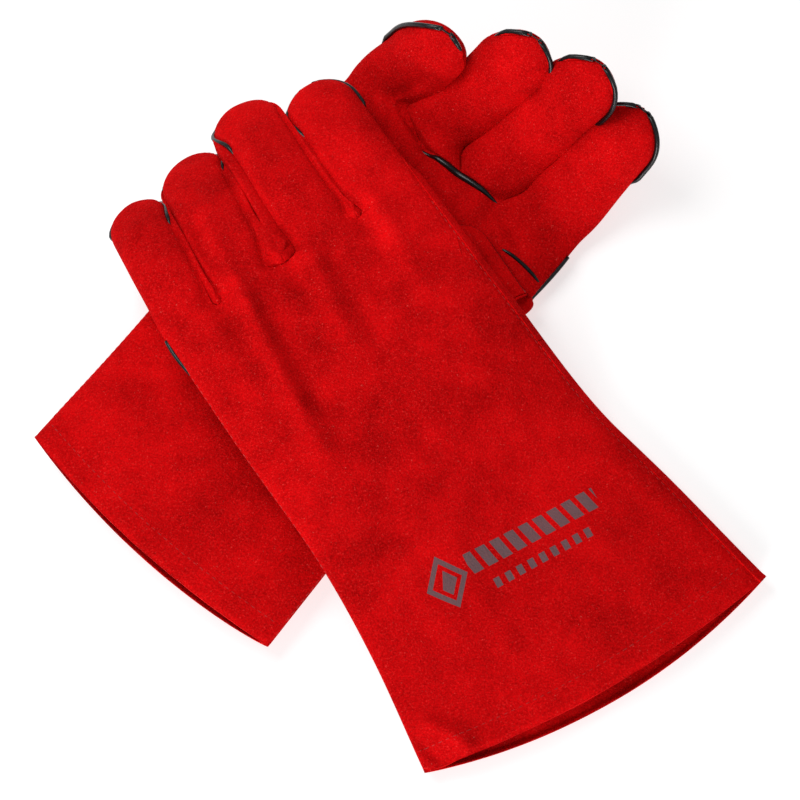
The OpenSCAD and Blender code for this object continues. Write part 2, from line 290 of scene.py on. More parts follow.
def tipShare(g, f, s):
    start = tipStart(g, f)
    q = np.clip((s - start) / (fingerLong(g, f) - start), 0, 1)
    return np.maximum(0, 1 - q ** finger["tipPower"][g]) ** (1 / finger["tipPower"][g])


def fingerSizes(g, f, s, off):
    t = s / fingerLong(g, f)
    wide = mix(glove["rootWidth"][f] - finger["rootGap"], finger["width"][g][f], ramp(2 * t)) / 2
    wide = wide - finger["waist"][g][f] / 2 * hump((s - 24) / 14)
    plump = mix(1, finger["plump"][g], ramp((s - 8) / 22))
    high = mix(glove["handHeight"], glove["fingerHeight"], ramp(2 * t)) / 2 * plump
    return (wide - off) * tipShare(g, f, s), (high - off) * tipShare(g, f, s)


def fullCos(a, g=left):  # a section fuller than an oval where its power is below 1
    return np.sign(np.cos(a)) * np.abs(np.cos(a)) ** finger["boxAcross"][g]


def fullSin(a, g=left):
    return np.sign(np.sin(a)) * np.abs(np.sin(a)) ** finger["boxUp"][g]


def cutWidth(g, f, first, last, off=0.0):  # the leather between two seams, round the section half way along
    a = np.linspace(first, last, 80)
    wide, high = fingerSizes(g, f, np.array(fingerLong(g, f) / 2), off)
    return float(np.sum(np.hypot(np.diff(wide * fullCos(a, g)), np.diff(high * fullSin(a, g))))) / 1000


def bend(g, f, across, up, s):  # a finger's section at s, on its curling middle line
    pitch = math.radians(glove["tipPitch"][g][f])
    run = fingerLong(g, f) / pitch
    a = s / run
    x = across
    # the tip's seam lies off the middle line
    up = up - finger["tipDrop"][g] * (1 - tipShare(g, f, s)) * glove["fingerHeight"] / 2 * finger["plump"][g]
    y = glove["handLength"] + run * np.sin(a) - up * np.sin(a)
    base = glove["handHeight"] / 2 + lift(g, rootX(g, f) + 0 * s, glove["handLength"] + 0 * s)
    z = base + run * (1 - np.cos(a)) + up * np.cos(a)
    return np.stack([x, y, z], -1)


def edgeAngle(g, side, f, end, s):  # the gussets narrow to nothing at the tip
    toTip = ramp((s - fingerLong(g, f) + finger["tipSeam"] + 4) / finger["tipSeam"])
    share = mix(finger["edges"][g, side][f][end], 1, toTip)
    return np.arccos(np.minimum(1, share ** (1 / finger["boxAcross"][g])))


def slotOpen(g, f, end, s):  # the edges stand apart over the soft ends of the left glove's gussets
    slot = f if end else f - 1
    if g == right or slot not in finger["slot"]:
        return 0 * s
    wide, at, long = finger["slot"][slot]
    return wide * hump((s - at) / long) * ramp((s + 2) / 4)


def puffAt(g, f, side, s):  # the right ring and middle fronts puff up past the seam across the palm
    if (g, side) != (right, 1) or f not in (1, 2):
        return 0 * s
    return 2.6 * ramp(s / 5) * (1 - ramp((s - 5) / 24))


def panelSection(g, f, side, u, s, off):
    w = ramp(s / finger["rootBlend"][g])
    c = f + u
    root = glove["handLength"] + 0 * s
    xh, zh = handSection(g, side, turnAt(g, side, c, root), root, off)
    wide, high = fingerSizes(g, f, s, off)
    a = mix(np.pi - edgeAngle(g, side, f, 0, s), edgeAngle(g, side, f, 1, s), u)
    xf = rootX(g, f) + leanShift(g, f, s) + wide * fullCos(a, g)
    arch = np.sin(np.pi * np.clip(u, 0, 1)) ** 0.5
    lump = 0.5 * waves(40 * c, s, 1.3 + 2 * f + side + g, 30, 5) * tipShare(g, f, s) * arch
    zf = side * (high * fullSin(a, g) + lump)
    x, z = mix(xh + leanShift(g, f, s), xf, w), mix(zh, zf, w)
    if side == 1:
        x = x - slotOpen(g, f, 1, s) * np.clip(u, 0, 1) ** 3
        x = x + slotOpen(g, f, 0, s) * np.clip(1 - u, 0, 1) ** 3
    fold = relief(g, side, xh, root + s) - relief(g, side, xh, root)
    z = z + side * fold * tipShare(g, f, s) * (1 - ramp((s - 30) / 30)) * 0.8
    wide = finger["rollWidth"][g]
    rolled = hump(u / wide) * (f > 0) + hump((1 - u) / wide) * (f < 3)
    z = z - side * finger["edgeRoll"][g, side] * rolled * ramp(s / 8) * tipShare(g, f, s)
    return x, z + puffAt(g, f, side, s) * arch


def fingerPanel(g, f, side):
    def place(u, s):
        x, z = panelSection(g, f, side, u, s, 0)
        at = bend(g, f, x, z, s)
        at[..., 1] -= 1.1 * puffAt(g, f, side, s) * np.sin(np.pi * np.clip(u, 0, 1))
        return at
    return place


def gussetPanel(g, f, end):  # end 0 is the little side and 1 the thumb side
    out = 1 if end else -1

    def place(w, s):
        x1, z1 = panelSection(g, f, 1, end + 0 * s, s, finger["gussetSunk"])
        x0, z0 = panelSection(g, f, -1, end + 0 * s, s, finger["gussetSunk"])
        wide = fingerSizes(g, f, s, 0)[0]
        edge = np.abs(x1 - rootX(g, f) - leanShift(g, f, s))
        reach = np.maximum(wide - edge, 0.4 * tipShare(g, f, s)) * ramp(s / 10) + slotOpen(g, f, end, s)
        if g == right:
            bulge = reach * np.sin(np.pi * np.clip(w, 0, 1)) ** 0.6
            return bend(g, f, mix(x1, x0, w) + out * bulge, mix(z1, z0, w), s)
        # the strip's upper part lies open as a soft roll, and the rest goes down between
        roll = np.clip(w / 0.45, 0, 1)
        opened = reach * np.sin(np.pi / 2 * roll) * (1 - ramp((w - 0.6) / 0.4))
        x = mix(x1, x0, ramp((w - 0.45) / 0.55)) + out * opened
        swell = finger["gussetSwell"] * ramp((s + 1) / 4) * tipShare(g, f, s) + 0.4 * slotOpen(g, f, end, s)
        z = mix(z1, z0, ramp((w - 0.25) / 0.75)) + swell * np.sin(np.pi * np.clip(w / 0.55, 0, 1)) ** 0.8
        return bend(g, f, x, z, s)
    return place


def thumbRoot(g):
    return handWidth / 2 - glove["shift"][g] + glove["thumbOut"]


def thumbMiddle(g):  # the folded thumb's middle height
    below = glove["handHeight"] + glove["layerGap"]
    if g == left:
        below = below + (glove["layerGap"] + glove["thumbHeight"])
    return below + glove["thumbHeight"] / 2


def thumbTube(g, angles):  # below 0 the tube turns over the edge of the hand, in which it ends
    fold = math.radians(glove["thumbFold"])
    handMiddle = glove["handHeight"] / 2 + (rise if g == left else 0)
    gap = handMiddle - thumbMiddle(g)

    def place(u, s):
        a = np.interp(u, [0, 1], angles)
        start = glove["thumbLength"] - glove["thumbWidth"] / 2
        q = np.clip((s - start) / (glove["thumbLength"] - start), 0, 1)
        tip = np.maximum(0, 1 - q ** 2.4) ** (1 / 2.4)
        wide = glove["thumbWidth"] / 2 * tip * mix(1, 1.1, ramp((10 - s) / 30))
        high = glove["thumbHeight"] / 2 * tip
        up = high * fullSin(a) + 0.25 * waves(s, 17 * a, 2 + g, 28, 4) * tip * np.abs(np.sin(a))
        turn = np.pi * np.clip(-s / 20, 0, 1)  # round the edge of the hand
        along = np.maximum(s, 0) - np.sin(turn) * abs(gap) / 2
        height = thumbMiddle(g) + gap / 2 * (1 - np.cos(turn)) + up * np.cos(turn)
        along = along - np.sign(gap) * up * np.sin(turn) + 5.5 * ramp((4 - s) / 12)
        across = wide * fullCos(a)
        x = thumbRoot(g) + along * math.cos(fold) - across * math.sin(fold)
        y = glove["thumbAlong"] + along * math.sin(fold) + across * math.cos(fold)
        return np.stack([x, y, height], -1)
    return place


class Wire:  # one output socket, with the operators that shader maths needs
    def __init__(self, tree, socket=None):
        self.tree, self.socket = tree, socket

    def node(self, kind, settings=None, sockets=None, out=0):
        made = self.tree.nodes.new(kind)
        for key, value in (settings or {}).items():
            if key == "stops":
                while len(made.color_ramp.elements) < len(value):
                    made.color_ramp.elements.new(0.5)
                for element, (at, color) in zip(made.color_ramp.elements, value):
                    element.position, element.color = at, color
            else:
                setattr(made, key, value)
        for key, value in (sockets or {}).items():
            if isinstance(value, Wire):
                self.tree.links.new(value.socket, made.inputs[key])
            else:
                made.inputs[key].default_value = value
        return Wire(self.tree, made.outputs[out]) if len(made.outputs) else made

    def sum(self, operation, a, b=0.0):
        return self.node("ShaderNodeMath", {"operation": operation}, {0: a, 1: b})

    def __add__(self, other):
        return self.sum("ADD", self, other)

    __radd__ = __add__

    def __sub__(self, other):
        return self.sum("SUBTRACT", self, other)

    def __rsub__(self, other):
        return self.sum("SUBTRACT", other, self)

    def __mul__(self, other):
        return self.sum("MULTIPLY", self, other)

    __rmul__ = __mul__

    def __lt__(self, other):
        return self.sum("LESS_THAN", self, other)

    def __gt__(self, other):
        return self.sum("GREATER_THAN", self, other)

    def __abs__(self):
        return self.sum("ABSOLUTE", self)

    def clear(self, low, high):  # 0 at low and 1 at high, held outside
        return self.node("ShaderNodeMapRange", {"clamp": True}, {0: self, 1: low, 2: high, 3: 0.0, 4: 1.0})

    def blend(self, a, b):  # a colour between a and b, by this share
        return self.node("ShaderNodeMix", {"data_type": "RGBA"}, {0: self, 6: a, 7: b}, out=2)

    def noise(self, at, size, detail=2.0, rough=0.5):  # size of the features in millimetres
        return self.node("ShaderNodeTexNoise", None,
                         {"Vector": at, "Scale": 1000 / size, "Detail": detail, "Roughness": rough})


def newMaterial(name, **fixed):
    material = bpy.data.materials.new(name)
    material.use_nodes = True
    tree = material.node_tree
    shader = tree.nodes["Principled BSDF"]
    for key, value in fixed.items():
        shader.inputs[key.replace("_", " ")].default_value = value
    start = Wire(tree)
    return material, start, shader, start.node("ShaderNodeTexCoord", out=3)


def join(start, shader, **wires):
    for key, wire in wires.items():
        start.tree.links.new(wire.socket, shader.inputs[key.replace("_", " ")])


suede = {
    "deep": (0.31, 0.0010, 0.0014, 1), "bright": (0.82, 0.0035, 0.005, 1), "nap": (0.95, 0.05, 0.045, 1),
    "patch": 60, "cloud": 16, "grain": 1.0, "fleck": 0.7, "lint": 1.1, "lintColor": (0.95, 0.16, 0.13, 1),
    "sheen": 0.03, "sheenTint": (1, 0.06, 0.05, 1), "sheenRoughness": 0.5, "bump": 0.7, "bumpDepth": 0.0007,
    "ink": (0.105, 0.105, 0.115, 1), "inkShare": 0.86,
}


def inkMark(start):  # a diamond in a diamond, a row of blocks and a thinner row of dashes, on the left cuff
    uv = start.node("ShaderNodeUVMap", {"uv_map": "pattern"})
    turned = start.node("ShaderNodeMapping", {"vector_type": "TEXTURE"},
                        {"Vector": uv, "Location": (0.010, 0.0752, 0), "Rotation": (0, 0, math.radians(-5))})
    parts = start.node("ShaderNodeSeparateXYZ", None, {0: turned})
    x = Wire(start.tree, parts.socket.node.outputs[0]) * 1000
    y = Wire(start.tree, parts.socket.node.outputs[1]) * 1000

    def band(value, low, high):
        return (value > low) * (value < high)

    fromMiddle = abs(x + 47) * 1.15 + abs(y + 3)  # a diamond in a diamond
    ring = band(fromMiddle, 9.4, 13.2)
    bar = (fromMiddle < 6.4) * (x + 48 > y * 0.5)
    slanted = start.sum("FRACT", (x + 34 + y * 0.25) * (1 / 8.2))
    blocks = band(x, -34, 40) * band(y, -5.2, 5.2) * (slanted < 0.66)
    dashes = band(x, -26, 30) * band(y, -16.5, -11.5) * (start.sum("FRACT", (x + 26) * (1 / 6.4)) < 0.52)
    return start.sum("MAXIMUM", start.sum("MAXIMUM", ring, bar), start.sum("MAXIMUM", blocks, dashes))


def suedeMaterial(name, marked=False):
    material, start, shader, at = newMaterial(
        name, Sheen_Weight=suede["sheen"], Sheen_Tint=suede["sheenTint"],
        Sheen_Roughness=suede["sheenRoughness"], Specular_IOR_Level=0.02)
    patch = start.noise(at, suede["patch"], 3.0, 0.55)
    cloud = start.noise(at, suede["cloud"], 4.0, 0.6)
    grain = start.noise(at, suede["grain"], 3.0, 0.6)
    fleck = start.noise(at, suede["fleck"], 1.0, 0.5)
    tone = (patch * 0.45 + cloud * 0.35 + grain * 0.6).clear(0.50, 0.92)
    color = tone.blend(suede["deep"], suede["bright"])
    pale = start.noise(at, suede["lint"], 2.0, 0.6).clear(0.69, 0.77)
    color = (fleck.clear(0.58, 0.76) * grain.clear(0.35, 0.7) * 0.6).blend(color, suede["nap"])
    color = (pale * 0.45).blend(color, suede["lintColor"])
    if marked:
        worn = (cloud * 0.5 + grain * 0.6).clear(0.22, 0.42) * suede["inkShare"]
        color = (inkMark(start) * worn).blend(color, suede["ink"])
    rough = 0.8 + grain * 0.2
    height = cloud * 0.5 + grain * 0.8 + fleck * 0.35
    bump = start.node("ShaderNodeBump", None,
                      {"Strength": suede["bump"], "Distance": suede["bumpDepth"], "Height": height})
    join(start, shader, Base_Color=color, Roughness=rough, Normal=bump)
    return material


def fleeceMaterial():
    material, start, shader, at = newMaterial(
        "fleece", Sheen_Weight=0.4, Sheen_Roughness=0.5, Specular_IOR_Level=0.1)
    tuft = start.noise(at, 2.4, 4.0, 0.7)
    patch = start.noise(at, 22, 2.0, 0.5)
    color = (tuft * 0.7 + patch * 0.4).clear(0.3, 0.8).blend((0.42, 0.36, 0.28, 1), (0.86, 0.8, 0.7, 1))
    bump = start.node("ShaderNodeBump", None, {"Strength": 0.8, "Distance": 0.0012, "Height": tuft})
    join(start, shader, Base_Color=color, Roughness=tuft * 0.15 + 0.82, Normal=bump)
    return material


def weltMaterial():
    material, start, shader, at = newMaterial("black_welt", Coat_Roughness=0.25, Specular_IOR_Level=0.3)
    crease = start.noise(at, 1.6, 3.0, 0.6)
    scuff = start.noise(at, 6, 3.0, 0.6)
    color = scuff.clear(0.5, 0.8).blend((0.003, 0.0035, 0.004, 1), (0.014, 0.017, 0.02, 1))
    bump = start.node("ShaderNodeBump", None, {"Strength": 0.5, "Distance": 0.0004, "Height": crease})
    join(start, shader, Base_Color=color, Roughness=scuff * 0.25 + 0.2,
         Coat_Weight=crease * 0.25 + 0.05, Normal=bump)
    return material


def threadMaterial():
    material, start, shader, at = newMaterial("red_thread", Sheen_Weight=0.2, Specular_IOR_Level=0.3)
    ply = start.noise(at, 0.5, 2.0, 0.5)
    color = ply.clear(0.3, 0.7).blend((0.26, 0.003, 0.003, 1), (0.62, 0.02, 0.018, 1))
    bump = start.node("ShaderNodeBump", None, {"Strength": 0.4, "Distance": 0.0002, "Height": ply})
    join(start, shader, Base_Color=color, Roughness=ply * 0.2 + 0.45, Normal=bump)
    return material


materials = {
    "suede": suedeMaterial("red_suede"),
    "marked": suedeMaterial("red_suede_marked", marked=True),
    "fleece": fleeceMaterial(),
    "welt": weltMaterial(),
    "thread": threadMaterial(),
}
print("materials made")


def addShell(bm, place, us, vs, thickness, inside, tip=False, pattern=None):
    # a grid laid by place(u, v) in millimetres, with its wall on the side of the point inside
    n, m = len(us), len(vs)
    made = bmesh.ops.create_grid(bm, x_segments=n - 1, y_segments=m - 1, size=1)["verts"]
    u = np.array([us[round((v.co.x + 1) / 2 * (n - 1))] for v in made])
    v = np.array([vs[round((v.co.y + 1) / 2 * (m - 1))] for v in made])
    at = place(u, v)
    small = 0.02 * (vs[-1] - vs[0]) / m
    vn = np.clip(v, vs[0], vs[-1] - 0.12) if tip else v
    du = place(u + 0.002, vn) - place(u - 0.002, vn)
    dv = place(u, vn + small) - place(u, vn - small)
    normal = np.cross(du, dv)
    normal /= np.maximum(1e-9, np.linalg.norm(normal, axis=1))[:, None]
    if np.sum(normal[n * (m // 2) + n // 2] * (at[n * (m // 2) + n // 2] - inside)) < 0:
        normal = -normal
    facing = bm.verts.layers.float_vector["facing"]
    inner = bm.verts.layers.int["inner"]
    uvLayer = bm.loops.layers.uv["pattern"]
    for vert, p, d in zip(made, at, normal):
        vert.co, vert[facing], vert[inner] = p, d, 0
    faces = {f for vert in made for f in vert.link_faces}
    if pattern:
        spot = {vert: pattern(a, b) for vert, a, b in zip(made, u, v)}
        for face in faces:
            for loop in face.loops:
                loop[uvLayer].uv = spot[loop.vert]
    bmesh.ops.remove_doubles(bm, verts=made, dist=0.015)
    live = [vert for vert in made if vert.is_valid]
    faces = list({f for vert in live for f in vert.link_faces})
    edges = list({e for f in faces for e in f.edges})
    out = bmesh.ops.extrude_face_region(bm, geom=faces + edges + live, use_keep_orig=True)["geom"]
    for vert in out:
        if isinstance(vert, bmesh.types.BMVert):
            vert[inner] = 1
            vert.co = vert.co - Vector(vert[facing]) * thickness
    return bm


def newBmesh():
    bm = bmesh.new()
    bm.verts.layers.float_vector.new("facing")
    bm.verts.layers.int.new("inner")
    bm.loops.layers.uv.new("pattern")
    return bm


def finishPiece(g, bm, name, finish, ownNormals=True):
    for vert in bm.verts:
        vert.co = toPair(g, np.array(vert.co[:]))
        vert.co.z = max(vert.co.z, 0)  # flat where it rests
    turn = Matrix.Rotation(math.radians(glove["turn"][g] - 90), 3, "Z")
    bmesh.ops.recalc_face_normals(bm, faces=bm.faces[:])
    bm.normal_update()
    normals = []
    if ownNormals:
        facing, inner = bm.verts.layers.float_vector["facing"], bm.verts.layers.int["inner"]
        for face in bm.faces:
            kinds = {vert[inner] for vert in face.verts}
            for loop in face.loops:
                own = turn @ Vector(loop.vert[facing]) if len(kinds) == 1 else face.normal
                if own.length < 0.5 or own.dot(face.normal) == 0:
                    own = face.normal
                normals.append((own if own.dot(face.normal) > 0 else -own).normalized()[:])
    mesh = bpy.data.meshes.new(name)
    for face in bm.faces:
        face.smooth = True
    bm.to_mesh(mesh)
    bm.free()
    for layer in ("facing", "inner"):
        if layer in mesh.attributes:
            mesh.attributes.remove(mesh.attributes[layer])
    if ownNormals:
        mesh.normals_split_custom_set(normals)
    return keepMesh(mesh, name, finish)


def keepMesh(mesh, name, finish):
    piece = bpy.data.objects.new(name, mesh)
    bpy.context.scene.collection.objects.link(piece)
    mesh.materials.append(materials[finish])
    return piece


def tubes(g, name, runs, finish):  # runs of (points in millimetres, radii), each a round cord
    curve = bpy.data.curves.new(name, "CURVE")
    curve.dimensions, curve.bevel_depth, curve.bevel_resolution = "3D", 0.001, 3
    curve.use_fill_caps = True
    for points, radii in runs:
        spline = curve.splines.new("POLY")
        spline.points.add(len(points) - 1)
        for point, at, r in zip(spline.points, toPair(g, np.array(points)), radii):
            point.co, point.radius = (*at, 1), r
    holder = bpy.data.objects.new(name + "_curve", curve)
    bpy.context.scene.collection.objects.link(holder)
    bpy.context.view_layer.update()
    mesh = bpy.data.meshes.new_from_object(holder.evaluated_get(bpy.context.evaluated_depsgraph_get()))
    bpy.data.objects.remove(holder)
    mesh.name = name
    bm = bmesh.new()
    bm.from_mesh(mesh)
    bmesh.ops.remove_doubles(bm, verts=bm.verts[:], dist=1e-6)
    bmesh.ops.recalc_face_normals(bm, faces=bm.faces[:])
    for face in bm.faces:
        face.smooth = True
    bm.to_mesh(mesh)
    bm.free()
    mesh.materials.clear()
    return keepMesh(mesh, name, finish)


def surfaceRun(place, us, vs, sink, inside):  # points on a panel, sunk by sink along its own normal
    u, v, sink = (np.broadcast_to(np.array(a, float), (max(len(us), len(vs)),)) for a in (us, vs, sink))
    at = place(u, v)
    du = place(u + 0.002, v) - place(u - 0.002, v)
    dv = place(u, v + 0.05) - place(u, v - 0.05)
    normal = np.cross(du, dv)
    normal /= np.maximum(1e-9, np.linalg.norm(normal, axis=1))[:, None]
    flip = np.where(np.sum(normal * (at - inside), axis=1) < 0, -1, 1)
    return at - normal * (sink * flip)[:, None]


# where each finger's welt stands proud: -1 low on the little side, 0 at the tip, 1 low on the thumb side
welt = {
    "proud": (-0.8, -1.25),
    "radius": (1.2, 1.3),
    "shows": {
        left: ((-0.3, 0.8), (-0.25, 0.65), (-0.8, 0.0), (-0.75, 0.8)),
        right: ((-0.9, 0.1), (-0.2, 0.8), (-0.2, 0.8), (-0.5, 0.9)),
    },
}
stitch = {"length": 2.9, "pitch": 3.9, "radius": 0.24}


def addStitches(bm, path):  # small capsules along a path of points
    gaps = np.linalg.norm(np.diff(path, axis=0), axis=1)
    far = np.concatenate([[0], np.cumsum(gaps)])
    for at in np.arange(stitch["pitch"] / 2, far[-1] - stitch["pitch"] / 2, stitch["pitch"]):
        a, b = (Vector([np.interp(at + d, far, path[:, k]) for k in range(3)])
                for d in (-stitch["length"] / 2, stitch["length"] / 2))
        turn = (b - a).to_track_quat("Z", "Y").to_matrix().to_4x4()
        shape = Matrix.Diagonal((stitch["radius"], stitch["radius"], stitch["length"] / 2, 1))
        bmesh.ops.create_uvsphere(bm, u_segments=6, v_segments=4, radius=1,
                                  matrix=Matrix.Translation((a + b) / 2) @ turn @ shape)


grid = {"strip": 20, "handStep": 2.8, "fingerStep": 2.2, "tipTurns": 12}


def evenly(count):
    return [i / count for i in range(count + 1)]


stripColumns = evenly(grid["strip"])


def handSheet(g, side):
    return lambda c, y: handPoint(g, side, turnAt(g, side, c, y), y)


def handRows(start, end):
    count = max(2, round((end - start) / grid["handStep"]))
    rows = [mix(start, end, i / count) for i in range(count + 1)]
    if end > 230:
        rows = [y for y in rows if y < 226] + [mix(226, end, i / 18) for i in range(19)]
    return [start, start + 0.7, start + 1.6] + rows[1:] if start == 0 else rows


def fingerRows(g, f):
    long, start = fingerLong(g, f), tipStart(g, f)
    count = round(start / grid["fingerStep"])
    straight = [start * i / count for i in range(count)]
    turns = [math.pi / 2 * i / grid["tipTurns"] for i in range(grid["tipTurns"] + 1)]
    return straight + [mix(start, long, math.sin(a)) for a in turns]


def topSide(g, part):  # which face a panel lies on: the left glove lies back up, the right one palm up
    return 1 if (part == "back") == (g == left) else -1


def insideHand(g, y):
    x = np.array(0.0)
    return np.array([middleX(g, y), y, halfHeight(g, y) + float(lift(g, x, y))])


def patternOf(g, side):
    return lambda c, y: tuple(float(k) for k in handSheet(g, side)(np.array(c), np.array(y))[:2] / 1000)


def handPanel(g, part, start, end, node, finish):
    side = topSide(g, "back" if part == "back" else "front")
    columns = [f + u for f in range(4) for u in stripColumns[:-1]] + [4]
    bm = newBmesh()
    middle = insideHand(g, (start + end) / 2)
    addShell(bm, handSheet(g, side), columns, handRows(start, end), glove["leather"], middle,
             pattern=patternOf(g, side) if finish == "marked" else None)
    piece = finishPiece(g, bm, f"{handName[g]}_{node}_suede", finish)
    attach(piece, f"{handName[g]}_hand")
    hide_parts(f"{handName[g]}_{node}")
    return piece


def flatSize(g, start, end):
    width = float(halfWidth(g, np.array(start)) + halfWidth(g, np.array(end))) * 1.03
    return (round(width) / 1000, round(end - start) / 1000)


def blendFinger(g, f, piece):
    up = 0 if g == left else 9
    middle = float(bend(g, f, np.array(0.0), np.array(0.0), np.array(0.0))[2])
    start = toPair(g, np.array([rootX(g, f), glove["handLength"], middle - up / 2]))
    end = toPair(g, np.array([rootX(g, f), glove["handLength"] + finger["blendReach"], middle + up]))
    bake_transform(piece)
    return piece


for g in (left, right):
    hand = handName[g]
    body = f"{hand}_hand"
    length, cuff, hem = glove["handLength"], glove["cuffLength"], glove["hemWidth"]
    back = handPanel(g, "back", 0, length, "back_panel", "marked" if g == left else "suede")
    palm = handPanel(g, "front", cuff + 0.25, length, "palm_panel", "suede")
    cuffFront = handPanel(g, "front", 0, cuff, "cuff_front", "suede")

    # the fleece bag and the edge turned in round the mouth, each a sleeve
    ring = [-1 + 4 * i / 96 for i in range(97)]

    def sleeve(turn, y, off):
        top = handPoint(g, 1, np.minimum(turn, 1), y, off)
        low = handPoint(g, -1, 2 - np.maximum(turn, 1), y, off)
        return np.where((turn > 1)[..., None], low, top)

    bm = newBmesh()
    deep = glove["leather"] + glove["liningGap"]
    addShell(bm, lambda u, v: sleeve(u, v, deep + 0.7), ring, handRows(hem + 0.5, length - 2),
             glove["fleece"], insideHand(g, 130))
    lining = finishPiece(g, bm, f"{hand}_lining_fleece", "fleece")
    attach(lining, body)
    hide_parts(f"{hand}_lining")

    bm = newBmesh()
    rows = [0, 0.5, 1.2, 2.4, 4, 6, 8, 10, hem]

    def turnedIn(u, v):
        return sleeve(u, v, glove["leather"] + 0.05 + 0.7 * hump(v / 1.2))

    addShell(bm, turnedIn, ring, rows, glove["leather"], insideHand(g, 6))
    hemPiece = finishPiece(g, bm, f"{hand}_hem_suede", "suede")
    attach(hemPiece, body)
    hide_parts(f"{hand}_hem")

    # welts in the side seams, proud only where the seam rolls open
    along = np.linspace(hem, length - 1, 90)
    top = handSheet(g, 1)
    proud = {(left, 0): (243, 22), (left, 1): (500, 20), (right, 0): (500, 20), (right, 1): (245, 38)}
    runs = []
    for end, c in ((0, 0.0), (1, 4.0)):
        at, wide = proud[g, end]
        show = hump((along - at) / wide)
        sink = mix(3.2, -0.3, show)
        path = top(np.full(len(along), c - (0.002 if end else -0.002)), along)
        inward = np.array([insideHand(g, y) for y in along]) - path
        path = path + inward / np.linalg.norm(inward, axis=1)[:, None] * sink[:, None]
        runs.append((path, mix(0.5, 1.1, show)))
    if g == right:  # the thumb's crotch seam across the edge of the palm
        crotchX, crotchY = np.linspace(44, 70, 30), 231.5 - 2 * np.linspace(-0.6, 1, 30) ** 2
        turns = 2 / np.pi * np.arcsin((crotchX - middleX(g, crotchY)) / halfWidth(g, crotchY))
        lens = np.sin(np.pi * np.linspace(0, 1, 30)) ** 0.5
        path = surfaceRun(lambda t, y: handPoint(g, 1, t, y), turns, crotchY, 0.8 - 0.8 * lens,
                          insideHand(g, 230))
        runs.append((path, 0.5 + 0.7 * lens))
    welts = tubes(g, f"{hand}_side_welts_black", runs, "welt")
    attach(welts, body)
    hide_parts(f"{hand}_side_welts")

    # the cross-palm seam's welt, a lens that thins out at both ends
    side = topSide(g, "front")
    across = np.linspace(1.02, 3.0, 60)
    face = handSheet(g, side)
    lens = np.sin(np.pi * np.clip((across - 1.02) / 1.98, 0, 1)) ** 0.7
    path = surfaceRun(face, across, np.full(60, length - 0.6), 0.9 - 1.1 * lens, insideHand(g, 230))
    thick = 0.5 + (1.5 if g == right else 0.3) * lens
    gunn = tubes(g, f"{hand}_cross_palm_welt_black", [(path, thick)], "welt")
    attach(gunn, body)
    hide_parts(f"{hand}_gunn_welt")

    # sewing thread: round the hem, beside the side seams and along the wrist seam
    bm = bmesh.new()
    for s in (1, -1):
        around = np.linspace(0.06, 3.94, 200)
        addStitches(bm, surfaceRun(handSheet(g, s), around, np.full(200, hem - 1.0), 0.1, insideHand(g, 60)))
    seamAlong = np.linspace(hem + 2, length - 12, 150)
    inset = 2.6 / (halfWidth(g, seamAlong) / 2)
    for c in (0 + inset * 1.5, 4 - inset * (0.8 if g == left else 1.5)):
        addStitches(bm, surfaceRun(top, c, seamAlong, 0.1, insideHand(g, 130)))
    acrossWrist = np.linspace(0.1, 3.9, 160)
    wrist = np.full(160, cuff + 3.0)
    addStitches(bm, surfaceRun(handSheet(g, side), acrossWrist, wrist, 0.1, insideHand(g, 150)))
    thread = finishPiece(g, bm, f"{hand}_seam_thread", "thread", ownNormals=False)
    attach(thread, body)

    flatSize(g, 0, length)
    flatSize(g, cuff, length)
    flatSize(g, 0, cuff)
    wide, long = flatSize(g, hem, length)

    for f in range(4):
        name = f"{hand}_{fingerName[f]}"
        rows = fingerRows(g, f)
        middle = bend(g, f, np.array(rootX(g, f)), np.array(0.0), np.array(rows[len(rows) // 2]))
        pieces = []
        for part in ("back", "front"):
            bm = newBmesh()
            addShell(bm, fingerPanel(g, f, topSide(g, part)), stripColumns, rows, glove["leather"],
                     middle, tip=True)
            piece = finishPiece(g, bm, f"{name}_{part}_suede", "suede")
            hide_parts(f"{name}_{part}")
            pieces.append(piece)
        bm = newBmesh()
        for end in (0, 1):
            if (f, end) not in ((0, 0), (3, 1)):
                addShell(bm, gussetPanel(g, f, end), evenly(12), rows, glove["leather"], middle, tip=True)
        piece = finishPiece(g, bm, f"{name}_gussets_suede", "suede")
        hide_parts(f"{name}_gussets")
        pieces.append(piece)

        bm = newBmesh()

        def liningTube(u, s):
            a = 2 * np.pi * u
            wide, high = fingerSizes(g, f, s, deep + 1)
            narrow = mix(0.66, 0.98, ramp(s / 28))
            edges = [panelSection(g, f, 1, end + 0 * s, s, 0)[0] for end in (0, 1)]
            across = mix(sum(edges) / 2, rootX(g, f) + leanShift(g, f, s), ramp(s / 34))
            root = glove["handLength"] + 0 * s
            xh = handSection(g, 1, turnAt(g, 1, f + (1 + np.cos(a)) / 2, root), root, 0)[0]
            # it folds as deep as the leather does
            fold = np.minimum(0, relief(g, 1, xh, root + s) - relief(g, 1, xh, root))
            fade = tipShare(g, f, s) * (1 - ramp((s - 30) / 30)) * np.clip(1.5 * np.sin(a), 0, 1)
            short = 1 - (deep + 0.3) / fingerLong(g, f)
            x = across + wide * narrow * fullCos(a, g)
            return bend(g, f, x, high * narrow * fullSin(a, g) + 0.8 * fold * fade, s * short)

        inner = [s for s in rows if s > 3]
        addShell(bm, liningTube, evenly(24), inner, glove["fleece"], middle, tip=True)
        piece = finishPiece(g, bm, f"{name}_lining_fleece", "fleece")
        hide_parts(f"{name}_lining")
        pieces.append(piece)

